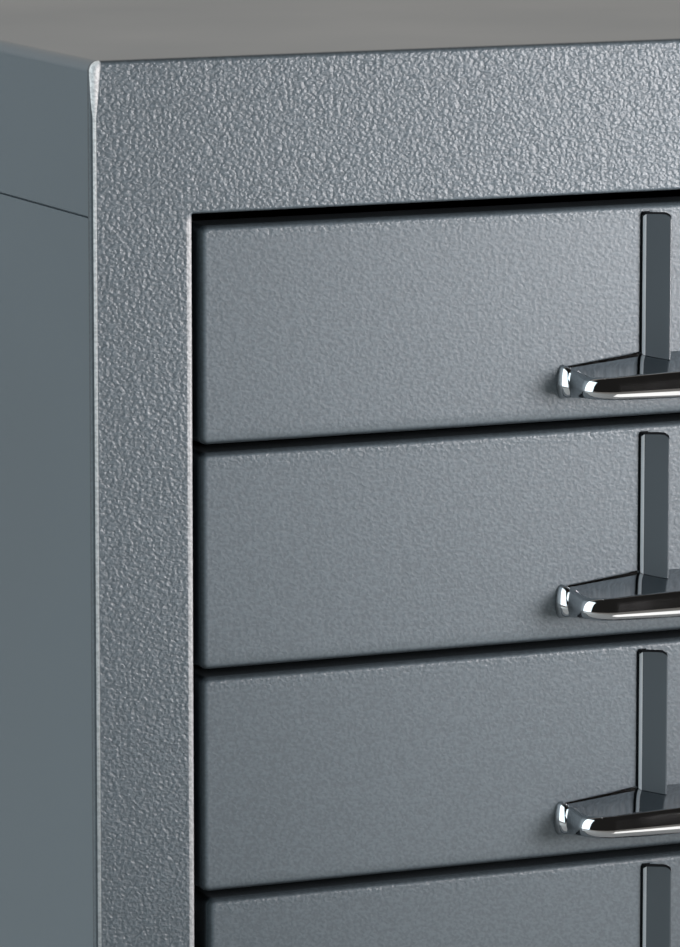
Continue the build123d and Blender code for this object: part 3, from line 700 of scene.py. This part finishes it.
def make_card_rails(number):
    piece = FacePiece(number)
    high = piece.height - RAIL_TOP
    side = -RAIL_FREE_EDGE - RAIL_WIDTH
    rings = []
    for outer, inner in rail_stations():
        distance = outer[0]
        top = high - corner_drop(distance, RAIL_OUTER_CORNER)
        top -= corner_drop(RAIL_WIDTH - distance, RAIL_FREE_CORNER)
        ring = []
        for (across, out), up in ((outer, None), (outer, top), (inner, top), (inner, None)):
            seat = plate_height(side + across, out) + RAIL_SEAT
            ring.append((side + across, out, seat if up is None else up))
        rings.append(ring)
    # The blade's foot and wall get painted shade.
    shades = [RAIL_SHADE, RAIL_SHADE]
    # Painted highlight on the bend's rows, blade paint beyond them.
    shades += [RAIL_HIGHLIGHT if row <= RAIL_HIGHLIGHT_ROWS else RAIL_BLADE for row in range(2, len(rings) - 1)]
    piece.both_sides(rings, shades)
    # Painted shadow cap along the blade's top.
    piece.both_sides(
        [
            [
                (ring[1][0], ring[1][1] + 0.04, ring[1][2] - RAIL_CAP_SHADOW),
                (ring[1][0], ring[1][1] + 0.04, ring[1][2] + RAIL_CAP_SHADOW_PROUD),
                (ring[2][0], ring[2][1], ring[2][2] + RAIL_CAP_SHADOW_PROUD),
                (ring[2][0], ring[2][1], ring[2][2] - RAIL_CAP_SHADOW),
            ]
            for ring in rings[2:-2]
        ],
        [RAIL_SHADE] * (len(rings) - 5),
    )
    # Painted shadow sheet beside the blade, where the slot's shade shows.
    slot_shadow = [
        (side - RAIL_SLOT_SHADOW, high - 0.6),
        (side - RAIL_SLOT_SHADOW + 0.4, high + 0.1),
        (side + 2.0, high + 0.1),
        (side + 2.0, PULL_LEDGE + 0.3),
        (side - RAIL_SLOT_SHADOW, PULL_LEDGE + 0.3),
    ]
    layers = [[(across, out, up) for across, up in slot_shadow] for out in (0.0, RAIL_SLOT_SHADOW_PROUD)]
    piece.both_sides(layers, [RAIL_SHADE])
    materials = (CARD_RAIL_SHADED_PAINT, CARD_RAIL_HIGHLIGHT, SLOT_SHADE)
    piece.finish(f"card_rails_{number}", materials, f"drawer_{number}_card_rails")


for number in DRAWERS:
    make_pull(number)
    make_card_rails(number)


# ---------------------------------------------------------------- floor, lamps and camera
FLOOR_HALF = 60.0
FLOOR_DROP = 0.3 * MM
FLOOR_COLORS = ((0.3, (0.79, 0.78, 0.76)), (0.7, (0.81, 0.80, 0.78)))


def make_floor():
    mesh = bpy.data.meshes.new("floor")
    signs = ((-1, -1), (1, -1), (1, 1), (-1, 1))
    corners = [(x * FLOOR_HALF, y * FLOOR_HALF, -FLOOR_DROP) for x, y in signs]
    mesh.from_pydata(corners, [], [(0, 1, 2, 3)])
    floor = bpy.data.objects.new("floor", mesh)
    bpy.context.scene.collection.objects.link(floor)
    paper = Paint("floor_paper", 0.75)
    cloud = paper.noise(0.4, detail=2.0)
    paper.set("Base Color", paper.color_between(cloud, FLOOR_COLORS))
    mesh.materials.append(paper.material)


def area_lamp(name, place, target, size, power, color, spread=180):
    data = bpy.data.lights.new(name, "AREA")
    data.shape = "RECTANGLE"
    data.size, data.size_y = size
    data.energy = power
    data.spread = math.radians(spread)
    data.color = color
    lamp = bpy.data.objects.new(name, data)
    lamp.location = place
    lamp.rotation_euler = (Vector(target) - Vector(place)).to_track_quat("-Z", "Y").to_euler()
    lamp.visible_camera = False
    bpy.context.scene.collection.objects.link(lamp)


ROOM_FRONT = (0.0, -0.94, 0.34)      # towards the middle of the dark part
ROOM_COLOR = (1.0, 0.945, 0.885)
ROOM_PALE, ROOM_DARK = 0.62, 0.02


def make_world():
    """Pale room behind and beside the cabinet, and a dark one in front of it."""
    world = bpy.data.worlds.new("studio")
    world.use_nodes = True
    nodes, links = world.node_tree.nodes, world.node_tree.links
    way = nodes.new("ShaderNodeTexCoord").outputs["Generated"]
    front = nodes.new("ShaderNodeVectorMath")
    front.operation = "DOT_PRODUCT"
    front.inputs[1].default_value = ROOM_FRONT
    links.new(way, front.inputs[0])
    level = nodes.new("ShaderNodeMapRange")
    level.interpolation_type = "SMOOTHSTEP"
    ends = {"From Min": 0.05, "From Max": 0.5, "To Min": ROOM_PALE, "To Max": ROOM_DARK}
    for socket, value in ends.items():
        level.inputs[socket].default_value = value
    links.new(front.outputs["Value"], level.inputs["Value"])
    background = nodes["Background"]
    background.inputs["Color"].default_value = (*ROOM_COLOR, 1.0)
    links.new(level.outputs["Result"], background.inputs["Strength"])
    bpy.context.scene.world = world


# The photograph's view: it looks this far to the right of +Y and this far down.
VIEW_YAW = math.radians(24.145)
VIEW_PITCH = math.radians(8.9975)
CAMERA_PLACE = (-0.66145, -1.41737, 0.44436)
FOCAL_PIXELS = 5846.6
IMAGE_HEIGHT = 947
SENSOR = 36.0


def make_camera():
    data = bpy.data.cameras.new("camera")
    data.sensor_width = SENSOR
    data.lens = FOCAL_PIXELS * SENSOR / IMAGE_HEIGHT
    data.clip_start = 0.05
    data.clip_end = 200.0
    camera = bpy.data.objects.new("camera", data)
    forward = Vector(
        (
            math.sin(VIEW_YAW) * math.cos(VIEW_PITCH),
            math.cos(VIEW_YAW) * math.cos(VIEW_PITCH),
            -math.sin(VIEW_PITCH),
        )
    )
    camera.location = CAMERA_PLACE
    camera.rotation_euler = forward.to_track_quat("-Z", "Y").to_euler()
    bpy.context.scene.collection.objects.link(camera)
    bpy.context.scene.camera = camera


make_floor()
make_world()
area_lamp(
    "key",
    place=(0.40, -0.605, 0.313),
    target=(0.02, -0.183, 0.305),
    size=(0.3, 0.3),
    power=1.16,
    color=(0.99, 0.945, 0.95),
    spread=65,
)
area_lamp(
    "left_softbox",
    place=(-1.166, -0.267, 0.65),
    target=(-0.17, -0.18, 0.20),
    size=(0.9, 1.1),
    power=8.0,
    color=(0.82, 0.98, 1.07),
)
area_lamp(
    "table_card",
    place=(0.08, -0.44, 0.02),
    target=(0.05, -0.36, 0.5),
    size=(0.17, 0.36),
    power=0.30,
    color=(1.0, 0.98, 0.94),
)
make_camera()
bpy.context.scene.view_settings.view_transform = "Standard"
